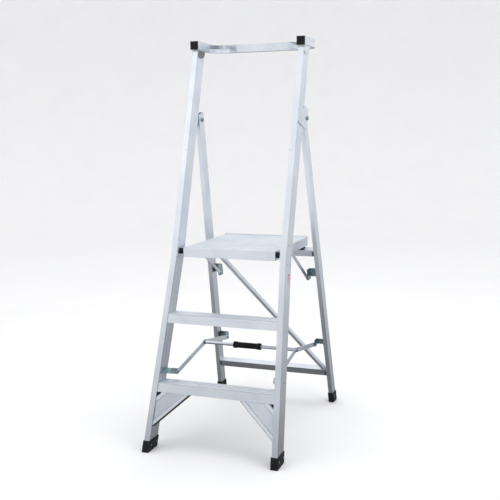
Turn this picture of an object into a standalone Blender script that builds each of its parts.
"""Folding platform step ladder: two treads, a platform and a guard rail.

Front frame of leaning box-section stiles, rear frame hinged to it, platform and
spreader that fold with the rear frame.  Metres, +Z up, front towards -Y.
"""
import bmesh
import bpy
from math import cos, pi, radians, sin, tan
from mathutils import Vector

# ---- driving dimensions -------------------------------------------------
gap = 0.0003
overall_height = 1.800
platform_height = 0.870
front_lean = radians(17.0)
rear_lean = radians(14.0)
front_toe_y = -0.479
rear_toe_y = 0.422

stile_width = 0.026
stile_depth = 0.080
stile_wall = 0.0022
upper_half_width = 0.270
floor_half_width = 0.310
kink_height = 0.835

rear_width = 0.021
rear_depth = 0.055
rear_wall = 0.0020
rear_floor_half_width = 0.3185
rear_flare = 0.0368
rear_top_along = 1.508

tread_heights = {"lower_tread": 0.2905, "upper_tread": 0.583}
tread_depth = 0.069
tread_drop = 0.038
tread_ridges = 4
ridge_half = 0.0050
ridge_rise = 0.0014
tread_setback = 0.0045
sheet = 0.0025

gusset_angle = radians(43.0)
gusset_width = 0.089
gusset_depth = 0.026
gusset_start_x = 0.119
gusset_margin = 0.0165

rail_tube = 0.038
rail_centre_x = 0.2576
rail_front_y = 0.051
rail_rear_y = 0.306
rail_bend_radius = 0.100
rail_crushed = 0.016
rail_dent = 0.0075
rail_transition = 0.045

platform_half_width = 0.2175
platform_front_y = -0.2074
platform_rear_y = 0.2984
platform_drop = 0.0415

hinge_y, hinge_z = 0.0923, 1.441
tilt_y, tilt_z = -0.189, 0.853
link_top_y, link_top_z = -0.0276, 0.852
link_foot_y, link_foot_z = 0.256, 0.673
arm_root_y, arm_root_z = -0.271, 0.310
elbow_y, elbow_z = 0.047, 0.369
brace_foot_y, brace_foot_z = 0.3585, 0.3165
grip_length = 0.139
grip_middle_x = -0.010

plate_thickness = 0.003
stile_top = overall_height - rail_tube - 0.002 - 2.0 * gap
bar_height = 0.032
bar_depth = 0.041
bar_setback = 0.0028
upper_bar_height = 0.8150
lower_bar_height = 0.1794
boot_height = 0.048
boot_wall = 0.003

bright = (0.78, 0.79, 0.80)
satin = (0.66, 0.68, 0.69)
zinc = (0.52, 0.60, 0.62)
black = (0.022, 0.022, 0.024)

fixed = (0.0, 0.0, 0.0)


# ---- local frames -------------------------------------------------------
def front_at(x, along, depth):
    """Point of the front frame: along the stile, depth behind its front face."""
    y = front_toe_y + along * sin(front_lean) + depth * cos(front_lean)
    return Vector((x, y, along * cos(front_lean) - depth * sin(front_lean)))


def rear_at(x, along, depth):
    """Point of the rear frame: along the stile, depth behind its front face."""
    y = rear_toe_y - along * sin(rear_lean) + depth * cos(rear_lean)
    return Vector((x, y, along * cos(rear_lean) + depth * sin(rear_lean)))


def front_level(x, z, depth):
    """Point of the front frame at a height, depth measured horizontally."""
    return Vector((x, front_toe_y + z * tan(front_lean) + depth, z))


def rear_level(x, z, depth):
    return Vector((x, rear_toe_y - z * tan(rear_lean) + depth, z))


def front_outer(z):
    """Half width over the front stiles at a height."""
    flare = (floor_half_width - upper_half_width) / kink_height
    return upper_half_width + flare * max(0.0, kink_height - z)


def front_inner(z):
    """Half width between the facing walls of the front stiles at a height."""
    return front_outer(z) - stile_width


def rear_outer(z):
    return rear_floor_half_width - rear_flare * z


def rear_inner(z):
    return rear_outer(z) - rear_width


# Per frame: its point function, facing wall, lean and slope of a bracket's cut.
front_frame = (front_level, front_inner, front_lean, sin(front_lean))
rear_frame = (rear_level, rear_inner, rear_lean, 0.0)


# ---- shape helpers ------------------------------------------------------
def surface(name, colour, roughness, metallic):
    material = bpy.data.materials.new(name + "_surface")
    material.use_nodes = True
    shader = material.node_tree.nodes["Principled BSDF"]
    shader.inputs["Base Color"].default_value = (*colour, 1.0)
    shader.inputs["Roughness"].default_value = roughness
    shader.inputs["Metallic"].default_value = metallic
    return material


def finish_of(colour):
    if colour == black:
        return 0.6, 0.0
    if colour == zinc:
        return 0.34, 1.0
    return 0.38, 1.0


def add_object(name, mesh_data, colour, pivot=fixed):
    """New object from a bmesh, with its origin on its pivot."""
    bmesh.ops.recalc_face_normals(mesh_data, faces=mesh_data.faces)
    bmesh.ops.translate(mesh_data, verts=mesh_data.verts, vec=-Vector(pivot))
    mesh = bpy.data.meshes.new(name)
    mesh_data.to_mesh(mesh)
    mesh_data.free()
    obj = bpy.data.objects.new(name, mesh)
    obj.location = pivot
    bpy.context.scene.collection.objects.link(obj)
    mesh.materials.append(surface(name, colour, *finish_of(colour)))
    return obj


def loft(name, rings, colour, pivot=fixed):
    """Closed solid through rings with the same number of points."""
    mesh_data = bmesh.new()
    loops = [[mesh_data.verts.new(point) for point in ring] for ring in rings]
    mesh_data.faces.new(loops[0])
    mesh_data.faces.new(loops[-1])
    for lower, upper in zip(loops, loops[1:]):
        for i in range(len(lower)):
            j = (i + 1) % len(lower)
            mesh_data.faces.new((lower[i], lower[j], upper[j], upper[i]))
    return add_object(name, mesh_data, colour, pivot)


def tube(name, rings_outer, rings_inner, colour, pivot=fixed):
    """Open-ended hollow bar between two outer and two inner rings."""
    mesh_data = bmesh.new()
    corners = []
    for ring in (rings_outer[0], rings_outer[1], rings_inner[1], rings_inner[0]):
        corners.append([mesh_data.verts.new(point) for point in ring])
    for k in range(4):
        here = corners[k]
        after = corners[(k + 1) % 4]
        for i in range(len(here)):
            j = (i + 1) % len(here)
            mesh_data.faces.new((here[i], here[j], after[j], after[i]))
    return add_object(name, mesh_data, colour, pivot)


def plate(name, outline, x0, x1, colour, pivot=fixed):
    """Flat piece with a (y, z) outline between two x positions."""
    rings = [[Vector((x, y, z)) for y, z in outline] for x in (x0, x1)]
    return loft(name, rings, colour, pivot)


def turned(name, profile, centre, colour, pivot, bore=0.0, steps=24):
    """Piece turned about an axis along X; profile is a list of (x, radius)."""
    rings = []
    points = list(profile)
    if bore:
        points = points + [(points[-1][0], bore), (points[0][0], bore)]
    for k in range(steps):
        angle = 2.0 * pi * k / steps
        ring = []
        for x, radius in points:
            y = centre[0] + radius * cos(angle)
            ring.append(Vector((x, y, centre[1] + radius * sin(angle))))
        rings.append(ring)
    mesh_data = bmesh.new()
    loops = [[mesh_data.verts.new(point) for point in ring] for ring in rings]
    spans = len(points) if bore else len(points) - 1
    for k in range(steps):
        here = loops[k]
        after = loops[(k + 1) % steps]
        for i in range(spans):
            j = (i + 1) % len(points)
            mesh_data.faces.new((here[i], here[j], after[j], after[i]))
    if not bore:
        mesh_data.faces.new([loop[0] for loop in loops])
        mesh_data.faces.new([loop[-1] for loop in loops])
    obj = add_object(name, mesh_data, colour, pivot)
    round_off(obj)
    return obj


def round_off(obj):
    obj.data.shade_smooth()
    obj.data.set_sharp_from_angle(angle=radians(35.0))


def carve(obj, cutter):
    """Take a hidden cutter's shape out of an object."""
    cutter.hide_render = True
    cutter.display_type = "WIRE"
    modifier = obj.modifiers.new(cutter.name, "BOOLEAN")
    modifier.operation = "DIFFERENCE"
    modifier.solver = "EXACT"
    modifier.object = cutter


def drill(obj, centre, radius, x0, x1):
    """Bore a hole along X through an object."""
    name = obj.name + "_hole"
    pivot = (0.5 * (x0 + x1), centre[0], centre[1])
    carve(obj, turned(name, [(x0, radius), (x1, radius)], centre, satin, pivot, steps=20))


def flat_bar_outline(start, end, width, steps=8):
    """(y, z) outline of a bar with round ends between two pivots."""
    direction = (Vector(end) - Vector(start)).normalized()
    across = Vector((-direction.y, direction.x))
    points = []
    for centre, sign in ((Vector(end), 1.0), (Vector(start), -1.0)):
        for k in range(steps + 1):
            angle = pi * k / steps
            offset = across * cos(angle) + direction * sin(angle)
            points.append(centre + offset * sign * 0.5 * width)
    return [(point.x, point.y) for point in points]


def sides():
    return (("left", -1.0), ("right", 1.0))


# ---- front frame --------------------------------------------------------
def box_profile(width, depth, groove):
    """Box section with two die grooves on each side wall.

    Points are (inward from the outer face, depth from the front).
    """
    half = 0.0015
    marks = (0.30 * depth, 0.70 * depth)
    points = [(0.0, 0.0), (width, 0.0)]
    for mark in marks:
        points += [(width, mark - half), (width - groove, mark - half)]
        points += [(width - groove, mark + half), (width, mark + half)]
    points += [(width, depth), (0.0, depth)]
    for mark in reversed(marks):
        points += [(0.0, mark + half), (groove, mark + half)]
        points += [(groove, mark - half), (0.0, mark - half)]
    return points


def bore_profile(width, depth, wall):
    far = depth - wall
    return [(wall, wall), (width - wall, wall), (width - wall, far), (wall, far)]


def front_ring(side, z, profile):
    outer = front_outer(z)
    stretch = 1.0 / cos(front_lean)
    return [front_level(side * (outer - a), z, d * stretch) for a, d in profile]


def build_front_stiles():
    profile = box_profile(stile_width, stile_depth, 0.0008)
    bore = bore_profile(stile_width, stile_depth, stile_wall)
    top = stile_top
    for label, side in sides():
        name = "front_stile_" + label
        rings = [front_ring(side, z, profile) for z in (0.0085, kink_height, stile_top)]
        stile = loft(name, rings, bright)
        rings = [front_ring(side, z, bore) for z in (0.001, kink_height, stile_top + 0.01)]
        carve(stile, loft(name + "_bore", rings, bright))


def tread_profile(top, front):
    """Broad ridges over two aprons that lean with the stiles, as (y, z) points."""
    drop = tread_drop
    pitch = tread_depth / tread_ridges
    points = [(front, top - drop), (front, top)]
    for k in range(tread_ridges):
        middle = front + (k + 0.5) * pitch
        points += [(middle - ridge_half - ridge_rise, top), (middle - ridge_half, top + ridge_rise)]
        points += [(middle + ridge_half, top + ridge_rise), (middle + ridge_half + ridge_rise, top)]
    back = front + tread_depth
    points += [(back, top), (back, top - drop), (back - sheet, top - drop)]
    points += [(back - sheet, top - sheet), (front + sheet, top - sheet)]
    points += [(front + sheet, top - drop)]
    return [(y - max(0.0, top - z) * tan(front_lean), z) for y, z in points]


def build_treads():
    for name, height in tread_heights.items():
        front = front_toe_y + height * tan(front_lean) + tread_setback
        profile = tread_profile(height, front)
        rings = []
        for _, side in sides():
            rings.append([Vector((side * (front_inner(z) - gap), y, z)) for y, z in profile])
        loft(name, rings, bright)


def gusset_profile():
    """(across the plank, depth) points: proud margins and a fluted middle."""
    flutes = 9
    level = 0.0012
    pitch = (gusset_width - 2.0 * gusset_margin) / flutes
    left = [
        (0.0, 0.0),
        (gusset_margin - 0.0010, 0.0),
        (gusset_margin - 0.0004, 2.0 * level),
        (gusset_margin + 0.0010, 2.0 * level),
        (gusset_margin + 0.0016, level),
    ]
    points = list(left)
    for k in range(1, flutes):
        centre = gusset_margin + k * pitch
        points += [(centre - 0.0010, level), (centre - 0.0005, level + 0.0007)]
        points += [(centre + 0.0005, level + 0.0007), (centre + 0.0010, level)]
    points += [(gusset_width - w, d) for w, d in reversed(left)]
    back = sheet + level
    points += [(gusset_width, gusset_depth), (gusset_width - sheet, gusset_depth)]
    points += [(gusset_width - sheet, back), (sheet, back), (sheet, gusset_depth)]
    return points + [(0.0, gusset_depth)]


def gusset_point(side, width, depth, reach):
    """Point of a plank: reach 0 at the tread, 1 at the stile's facing wall."""
    bottom = tread_heights["lower_tread"] - tread_drop - gap
    d = tread_setback + depth
    x = gusset_start_x + width * sin(gusset_angle)
    s = bottom / cos(front_lean) + width * cos(gusset_angle)
    rise = bottom - (s * cos(front_lean) - d * sin(front_lean))
    first = rise / (cos(front_lean) * sin(gusset_angle))
    flare = (floor_half_width - upper_half_width) / kink_height
    wall_x = front_inner(s * cos(front_lean) - d * sin(front_lean)) - gap
    closing = cos(gusset_angle) - flare * sin(gusset_angle) * cos(front_lean)
    last = (x - wall_x) / closing
    step = first + (last - first) * reach
    return front_at(side * (x - step * cos(gusset_angle)), s + step * sin(gusset_angle), d)


def build_gussets():
    """Planks running at an angle from the lower tread down to each stile."""
    profile = gusset_profile()
    near = gusset_margin + 0.003
    far = gusset_width - gusset_margin - 0.003
    notch = ((near, -0.01), (far, -0.01), (far, 0.01), (near, 0.01))
    for label, side in sides():
        rings = []
        for reach in (1.0, 0.0):
            rings.append([gusset_point(side, w, d, reach) for w, d in profile])
        plank = loft("gusset_" + label, rings, satin)
        rings = []
        for reach in (1.2, 0.97):
            rings.append([gusset_point(side, w, d, reach) for w, d in notch])
        carve(plank, loft("gusset_notch_" + label, rings, satin))


def rail_section(outer, inward, depth, dent):
    """Ring of the rail; a dent creases both its side walls at mid height."""
    low = overall_height - rail_tube
    middle = overall_height - 0.5 * rail_tube
    ring = []
    for reach, z in ((0.0, low), (0.35 * dent, middle), (0.0, overall_height)):
        point = outer + inward * reach
        ring.append(Vector((point.x, point.y, z)))
    for reach, z in ((depth, overall_height), (depth - dent, middle), (depth, low)):
        point = outer + inward * reach
        ring.append(Vector((point.x, point.y, z)))
    return ring


def build_guard_rail():
    """Square tube with crushed bends, front left end round to front right."""
    outer_x = rail_centre_x + 0.5 * rail_tube
    bend_start_y = rail_rear_y - rail_bend_radius
    rings = []
    straight = ((rail_front_y, rail_tube, 0.0), (bend_start_y - rail_transition, rail_tube, 0.0))
    for y, depth, dent in straight:
        rings.append(rail_section(Vector((-outer_x, y)), Vector((1.0, 0.0)), depth, dent))
    for k in range(9):
        angle = 0.5 * pi * k / 8
        inward = Vector((cos(angle), -sin(angle)))
        centre = Vector((rail_bend_radius - outer_x, bend_start_y))
        depth = rail_crushed + 0.004 * abs(k - 4) / 4.0
        rings.append(rail_section(centre - inward * rail_bend_radius, inward, depth, rail_dent))
    middle_x = outer_x - rail_bend_radius - rail_transition
    rings.append(rail_section(Vector((-middle_x, rail_rear_y)), Vector((0.0, -1.0)), rail_tube, 0.0))
    mirrored = []
    for ring in reversed(rings):
        mirrored.append([Vector((-point.x, point.y, point.z)) for point in ring])
    loft("guard_rail", rings + mirrored, bright)


def build_rail_fittings():
    low = overall_height - rail_tube
    for label, side in sides():
        half = 0.5 * rail_tube + 0.0002
        rings = []
        for y in (rail_front_y - 0.004, rail_front_y - gap):
            corners = ((-half, low), (half, low), (half, overall_height), (-half, overall_height))
            rings.append([Vector((side * rail_centre_x + x, y, z)) for x, z in corners])
        loft("rail_cap_" + label, rings, black)
        build_saddle(label, side, low - gap)


def build_saddle(label, side, top):
    """Clip over a stile's head, with a D-shaped cheek down each side of it."""
    cheek = 0.002
    inner = upper_half_width - stile_width - gap
    outer = upper_half_width + gap
    rings = []
    for k in range(11):
        angle = pi * k / 10
        depth = 0.001 + 0.0395 * (1.0 - cos(angle))
        foot = top - 0.022 - 0.017 * sin(angle)
        section = (
            (outer + cheek, foot),
            (outer + cheek, top),
            (inner - cheek, top),
            (inner - cheek, foot),
            (inner, foot),
            (inner, top - cheek),
            (outer, top - cheek),
            (outer, foot),
        )
        rings.append([front_level(side * x, z, depth) for x, z in section])
    loft("rail_saddle_" + label, rings, satin)


def front_plate_outline(along0, along1, depth0, depth1, corner):
    """Rectangle with cut corners in the plane of a front stile's web."""
    pairs = [
        (along0 + corner, depth0),
        (along1 - corner, depth0),
        (along1, depth0 + corner),
        (along1, depth1 - corner),
        (along1 - corner, depth1),
        (along0 + corner, depth1),
        (along0, depth1 - corner),
        (along0, depth0 + corner),
    ]
    points = [front_at(0.0, along, depth) for along, depth in pairs]
    return [(point.y, point.z) for point in points]


def build_hinges():
    """Outer plates on the front stiles and the bolts the rear frame turns on."""
    centre = (hinge_y, hinge_z)
    for label, side in sides():
        x0 = upper_half_width + gap
        outline = front_plate_outline(1.490, 1.590, 0.001, 0.138, 0.006)
        outer = x0 + plate_thickness
        hinge_plate = plate("hinge_plate_" + label, outline, side * x0, side * outer, satin)
        drill(hinge_plate, centre, 0.0050, side * (x0 - 0.002), side * (outer + 0.002))
        shoulder = rear_outer(hinge_z) + 0.0006
        inner = rear_inner(hinge_z) - 0.0006
        profile = [
            (side * (outer + 0.0066), 0.0040),
            (side * (outer + 0.0054), 0.0078),
            (side * (outer + gap), 0.0078),
            (side * (outer + gap), 0.0045),
            (side * (x0 - gap), 0.0045),
            (side * (x0 - gap), 0.0110),
            (side * shoulder, 0.0110),
            (side * shoulder, 0.0045),
            (side * inner, 0.0045),
            (side * inner, 0.0075),
            (side * (inner - 0.0060), 0.0075),
            (side * (inner - 0.0060), 0.0045),
            (side * (inner - 0.0090), 0.0045),
        ]
        turned("hinge_bolt_" + label, profile, centre, zinc, (0.0, *centre))


# ---- feet ---------------------------------------------------------------
def boot(name, ring_at, width, depth, height, pivot):
    """Rubber boot around the foot of a stile."""
    outside = [
        (-boot_wall, -boot_wall),
        (width + boot_wall, -boot_wall),
        (width + boot_wall, depth + boot_wall),
        (-boot_wall, depth + boot_wall),
    ]
    body = loft(name, [ring_at(0.0, outside), ring_at(height, outside)], black, pivot)
    play = 0.0004
    slot = [
        (-play, -play),
        (width + play, -play),
        (width + play, depth + play),
        (-play, depth + play),
    ]
    rings = [ring_at(0.008, slot), ring_at(height + 0.01, slot)]
    carve(body, loft(name + "_slot", rings, black, pivot))


def rear_ring(side, z, profile):
    outer = rear_outer(z)
    stretch = 1.0 / cos(rear_lean)
    return [rear_level(side * (outer - a), z, d * stretch) for a, d in profile]


def build_feet():
    for label, side in sides():

        def front_foot(z, profile):
            return front_ring(side, z, profile)

        def rear_foot(z, profile):
            return rear_ring(side, z, profile)

        name = "front_foot_" + label
        boot(name, front_foot, stile_width, stile_depth, boot_height, fixed)
        name = "rear_foot_" + label
        pivot = (0.0, hinge_y, hinge_z)
        boot(name, rear_foot, rear_width, rear_depth, boot_height + 0.004, pivot)


# ---- rear frame ---------------------------------------------------------
def rear_top_ring(side, profile, along):
    """Square-cut ring of a rear stile at a distance along it."""
    ring = []
    for a, d in profile:
        point = rear_at(0.0, along, d)
        point.x = side * (rear_outer(point.z) - a)
        ring.append(point)
    return ring


def build_rear_stiles():
    profile = box_profile(rear_width, rear_depth, 0.0006)
    bore = bore_profile(rear_width, rear_depth, rear_wall)
    pivot = (0.0, hinge_y, hinge_z)
    for label, side in sides():
        name = "rear_stile_" + label
        rings = [rear_ring(side, 0.0085, profile), rear_top_ring(side, profile, rear_top_along)]
        stile = loft(name, rings, satin, pivot)
        rings = [rear_ring(side, 0.001, bore), rear_top_ring(side, bore, rear_top_along + 0.01)]
        carve(stile, loft(name + "_bore", rings, satin, pivot))
        x0 = side * (rear_inner(hinge_z) - 0.008)
        x1 = side * (rear_outer(hinge_z) + 0.008)
        drill(stile, (hinge_y, hinge_z), 0.0049, x0, x1)


def build_rear_bars():
    """Two hollow cross bars between the rear stiles."""
    pivot = (0.0, hinge_y, hinge_z)
    wall = 0.002
    for name, front_top in (("rear_upper_bar", upper_bar_height), ("rear_lower_bar", lower_bar_height)):
        high = front_top / cos(rear_lean)
        low = high - bar_height
        near = bar_setback
        far = near + bar_depth
        skin = ((low, near), (high, near), (high, far), (low, far))
        low, high = low + wall, high - wall
        near, far = near + wall, far - wall
        bore = ((low, near), (high, near), (high, far), (low, far))
        tube(name, rear_span(skin), rear_span(bore), satin, pivot)


def rear_span(corners):
    """Rings of (along, depth) corners where a bar meets each rear stile."""
    rings = []
    for _, side in sides():
        ring = [rear_at(0.0, along, depth) for along, depth in corners]
        for point in ring:
            point.x = side * (rear_inner(point.z) - gap)
        rings.append(ring)
    return rings


def build_rear_brace():
    """Hollow diagonal from below the upper bar to above the lower bar."""
    pivot = (0.0, hinge_y, hinge_z)
    top = upper_bar_height / cos(rear_lean) - bar_height - gap
    bottom = lower_bar_height / cos(rear_lean) + gap
    slope = -0.834
    left_at_bottom = 0.2680
    near = bar_setback
    far = near + 0.025
    wall = 0.002
    rings_outer = []
    rings_inner = []
    for along in (bottom, top):
        x0 = left_at_bottom + slope * (along - bottom)
        x1 = x0 + 0.0200
        corners = ((x0, near), (x1, near), (x1, far), (x0, far))
        rings_outer.append([rear_at(x, along, d) for x, d in corners])
        x0, x1 = x0 + 1.3 * wall, x1 - 1.3 * wall
        corners = ((x0, near + wall), (x1, near + wall), (x1, far - wall), (x0, far - wall))
        rings_inner.append([rear_at(x, along, d) for x, d in corners])
    tube("rear_brace", rings_outer, rings_inner, satin, pivot)


def build_rest_pads():
    """Soft blocks on the upper bar that the platform comes down on."""
    pivot = (0.0, hinge_y, hinge_z)
    bar_top = upper_bar_height / cos(rear_lean)
    underside = platform_height - platform_drop - gap
    for label, side in sides():
        rings = []
        for x in (0.190, 0.2155):
            near = rear_at(side * x, bar_top + gap, bar_setback + 0.003)
            far = rear_at(side * x, bar_top + gap, bar_setback + 0.0340)
            near_top = Vector((near.x, near.y, underside))
            far_top = Vector((far.x, far.y, underside))
            rings.append([near, far, far_top, near_top])
        loft("rest_pad_" + label, rings, black, pivot)


# ---- brackets -----------------------------------------------------------
def step_section(web_x, end_x, depths):
    """(x, depth) outline: flange on the stile, cross plate, flange behind it."""
    front, cross, back = depths
    t = plate_thickness
    outline = [(web_x, front), (web_x, cross), (end_x + t, cross), (end_x + t, back)]
    return outline + [(end_x, back), (end_x, cross - t), (web_x - t, cross - t), (web_x - t, front)]


def trough_section(web_x, end_x, depths):
    """(x, depth) outline: both flanges stand in front of the cross plate."""
    front, cross, tip = depths
    t = plate_thickness
    outline = [(web_x, front), (web_x, cross), (end_x, cross), (end_x, tip)]
    return outline + [(end_x + t, tip), (end_x + t, cross - t), (web_x - t, cross - t), (web_x - t, front)]


def bracket(name, section, frame, side, heights, end_x, depths, pivot):
    """Folded sheet between a stile's facing wall and a pivot."""
    level, wall, lean, slope = frame
    rings = []
    for z in heights:
        outline = section(wall(z) - gap, end_x, depths)
        rings.append([level(side * x, z - slope * d, d / cos(lean)) for x, d in outline])
    return loft(name, rings, zinc, pivot)


def trim_web(obj, frame, side, low, high, end_x, pivot):
    """Cut a bracket shorter everywhere but at its pivot flange."""
    level, wall, _, _ = frame
    corners = (
        (end_x + plate_thickness + gap, -0.05),
        (wall(low) + 0.01, -0.05),
        (wall(low) + 0.01, 0.12),
        (end_x + plate_thickness + gap, 0.12),
    )
    rings = [[level(side * x, z, d) for x, d in corners] for z in (low, high)]
    carve(obj, loft(obj.name + "_trim", rings, zinc, pivot))


# ---- platform -----------------------------------------------------------
def build_platform():
    pivot = (0.0, tilt_y, tilt_z)
    top = platform_height
    low = top - platform_drop
    t = 0.003
    inner = platform_half_width - t - gap
    front = platform_front_y + t + gap
    rear = platform_rear_y - t - gap
    ribs = 26
    pitch = 2.0 * inner / (ribs + 1)
    section = [(-inner, top - t), (-inner, top)]
    for k in range(ribs):
        x = -inner + (k + 1) * pitch
        section += [(x - 0.0016, top), (x - 0.0010, top + 0.0010)]
        section += [(x + 0.0010, top + 0.0010), (x + 0.0016, top)]
    section += [(inner, top), (inner, top - t)]
    rings = [[Vector((x, y, z)) for x, z in section] for y in (front, rear)]
    loft("platform_deck", rings, bright, pivot)
    shelf = top - t - gap
    wide = platform_half_width
    edges = (
        ("platform_front_rail", platform_front_y, platform_front_y + t, top),
        ("platform_rear_rail", platform_rear_y, platform_rear_y - t, top + 0.0045),
    )
    for name, outer_y, inner_y, high in edges:
        outline = [(outer_y, low), (outer_y, high), (inner_y, high), (inner_y, low)]
        plate(name, outline, -wide, wide, bright, pivot)
    for label, side in sides():
        section = [
            (wide, low),
            (wide, top),
            (wide - t, top),
            (wide - t, shelf),
            (wide - 0.022, shelf),
            (wide - 0.022, shelf - t),
            (wide - t, shelf - t),
            (wide - t, low + t),
            (wide - 0.020, low + t),
            (wide - 0.020, low),
        ]
        rings = []
        for y in (front, rear):
            rings.append([Vector((side * x, y, z)) for x, z in section])
        beam = loft("platform_side_" + label, rings, bright, pivot)
        centre = (tilt_y, tilt_z)
        drill(beam, centre, 0.0054, side * (wide - t - 0.002), side * (wide + 0.002))


def build_platform_pivots():
    centre = (tilt_y, tilt_z)
    pivot = (0.0, *centre)
    wide = platform_half_width
    wall = upper_half_width - stile_width - gap
    outline = front_plate_outline(0.870, 0.938, 0.003, 0.045, 0.004)
    for label, side in sides():
        plate_x = wall - plate_thickness
        plate("platform_bracket_" + label, outline, side * plate_x, side * wall, satin)
        profile = [(side * (wide + gap), 0.0135), (side * (plate_x - gap), 0.0135)]
        turned("platform_bush_" + label, profile, centre, black, pivot, bore=0.0054)
        pin = [
            (side * (wide - plate_thickness - 0.0050), 0.0075),
            (side * (wide - plate_thickness - gap), 0.0075),
            (side * (wide - plate_thickness - gap), 0.0050),
            (side * (plate_x - gap), 0.0050),
        ]
        turned("platform_pin_" + label, pin, centre, zinc, pivot)


# ---- links and spreader -------------------------------------------------
def build_links():
    hinge_pivot = (0.0, hinge_y, hinge_z)
    foot = (link_foot_y, link_foot_z)
    top = (link_top_y, link_top_z)
    for label, side in sides():
        x0, x1 = 0.2262, 0.2302
        outline = flat_bar_outline(foot, top, 0.018)
        bar = plate("platform_link_" + label, outline, side * x0, side * x1, satin, (0.0, *foot))
        drill(bar, foot, 0.0043, side * (x0 - 0.002), side * (x1 + 0.002))
        name = "link_bracket_" + label
        heights = (0.6635, 0.7190)
        depths = (0.0080, 0.0400, -0.0085)
        end_x = x1 + gap + 0.0001
        folded = bracket(name, trough_section, rear_frame, side, heights, end_x, depths, hinge_pivot)
        trim_web(folded, rear_frame, side, 0.6500, 0.6770, end_x, hinge_pivot)
        drill(folded, foot, 0.0043, side * (end_x - 0.0010), side * (end_x + 0.0050))
        pin = [
            (side * 0.2392, 0.0070),
            (side * (0.2336 + gap), 0.0070),
            (side * (0.2336 + gap), 0.0040),
            (side * (x0 - gap), 0.0040),
            (side * (x0 - gap), 0.0070),
            (side * (x0 - 0.0028), 0.0070),
        ]
        turned("link_pin_" + label, pin, foot, zinc, hinge_pivot)
        boss = [(side * (platform_half_width + gap), 0.0080), (side * (x0 - gap), 0.0080)]
        turned("platform_boss_" + label, boss, top, zinc, (0.0, tilt_y, tilt_z))


def build_spreader():
    hinge_pivot = (0.0, hinge_y, hinge_z)
    root = (arm_root_y, arm_root_z)
    elbow = (elbow_y, elbow_z)
    foot = (brace_foot_y, brace_foot_z)
    for label, side in sides():
        x0, x1 = 0.2300, 0.2340
        outline = flat_bar_outline(root, elbow, 0.022)
        arm = plate("spreader_front_arm_" + label, outline, side * x0, side * x1, satin, (0.0, *root))
        drill(arm, root, 0.0043, side * (x0 - 0.002), side * (x1 + 0.002))
        x2, x3 = x1 + gap + 0.0002, x1 + 0.0045
        outline = flat_bar_outline(foot, elbow, 0.022)
        brace = plate("spreader_rear_arm_" + label, outline, side * x2, side * x3, satin, (0.0, *foot))
        drill(brace, foot, 0.0043, side * (x2 - 0.002), side * (x3 + 0.002))
        build_arm_root(label, side, root, x0, x1)
        build_arm_foot(label, side, foot, x2, x3, hinge_pivot)
    reach = 0.2300 - gap
    rod = [(-reach, 0.0080), (reach, 0.0080)]
    turned("handle_rod", rod, elbow, satin, (0.0, *root))
    build_grip(elbow, root)


def build_arm_root(label, side, root, x0, x1):
    cross = 0.045 if side < 0.0 else 0.090
    depths = (cross - 0.039, cross, 0.1200)
    heights = (0.3332, 0.3577)
    name = "spreader_bracket_" + label
    end = x1 + gap
    folded = bracket(name, step_section, front_frame, side, heights, end, depths, fixed)
    drill(folded, root, 0.0043, side * (end - 0.0010), side * (end + plate_thickness + 0.0020))
    arm_pin("spreader_pin_" + label, side, root, x0, end, fixed)


def build_arm_foot(label, side, foot, x0, x1, pivot):
    depths = (0.0080, 0.0400, 0.0020)
    heights = (0.3070, 0.3430)
    name = "rear_arm_bracket_" + label
    end = x1 + gap
    folded = bracket(name, trough_section, rear_frame, side, heights, end, depths, pivot)
    trim_web(folded, rear_frame, side, 0.3000, 0.3140, end, pivot)
    drill(folded, foot, 0.0043, side * (end - 0.0020), side * (end + plate_thickness + 0.0020))
    arm_pin("rear_arm_pin_" + label, side, foot, x0, end, pivot)


def arm_pin(name, side, centre, arm_x, bracket_x, pivot):
    """Headed pin through an arm and the bracket flange beside it."""
    flange = bracket_x + plate_thickness
    profile = [
        (side * (flange + 0.0050), 0.0070),
        (side * (flange + gap), 0.0070),
        (side * (flange + gap), 0.0040),
        (side * (arm_x - gap), 0.0040),
        (side * (arm_x - gap), 0.0070),
        (side * (arm_x - 0.0025), 0.0070),
    ]
    turned(name, profile, centre, zinc, pivot)


def build_grip(elbow, root):
    """Moulded grip on the handle rod, thicker at both ends."""
    half = 0.5 * grip_length
    right = [
        (half - 0.0220, 0.0140),
        (half - 0.0150, 0.0165),
        (half - 0.0015, 0.0163),
        (half, 0.0130),
    ]
    left = [(-x, radius) for x, radius in reversed(right)]
    profile = [(grip_middle_x + x, radius) for x, radius in left + right]
    turned("handle_grip", profile, elbow, black, (0.0, *root), bore=0.0083)


def clear_scene():
    for obj in list(bpy.data.objects):
        bpy.data.objects.remove(obj)


def main():
    clear_scene()
    build_front_stiles()
    build_treads()
    build_gussets()
    build_guard_rail()
    build_rail_fittings()
    build_hinges()
    build_feet()
    build_rear_stiles()
    build_rear_bars()
    build_rear_brace()
    build_rest_pads()
    build_platform()
    build_platform_pivots()
    build_links()
    build_spreader()


main()
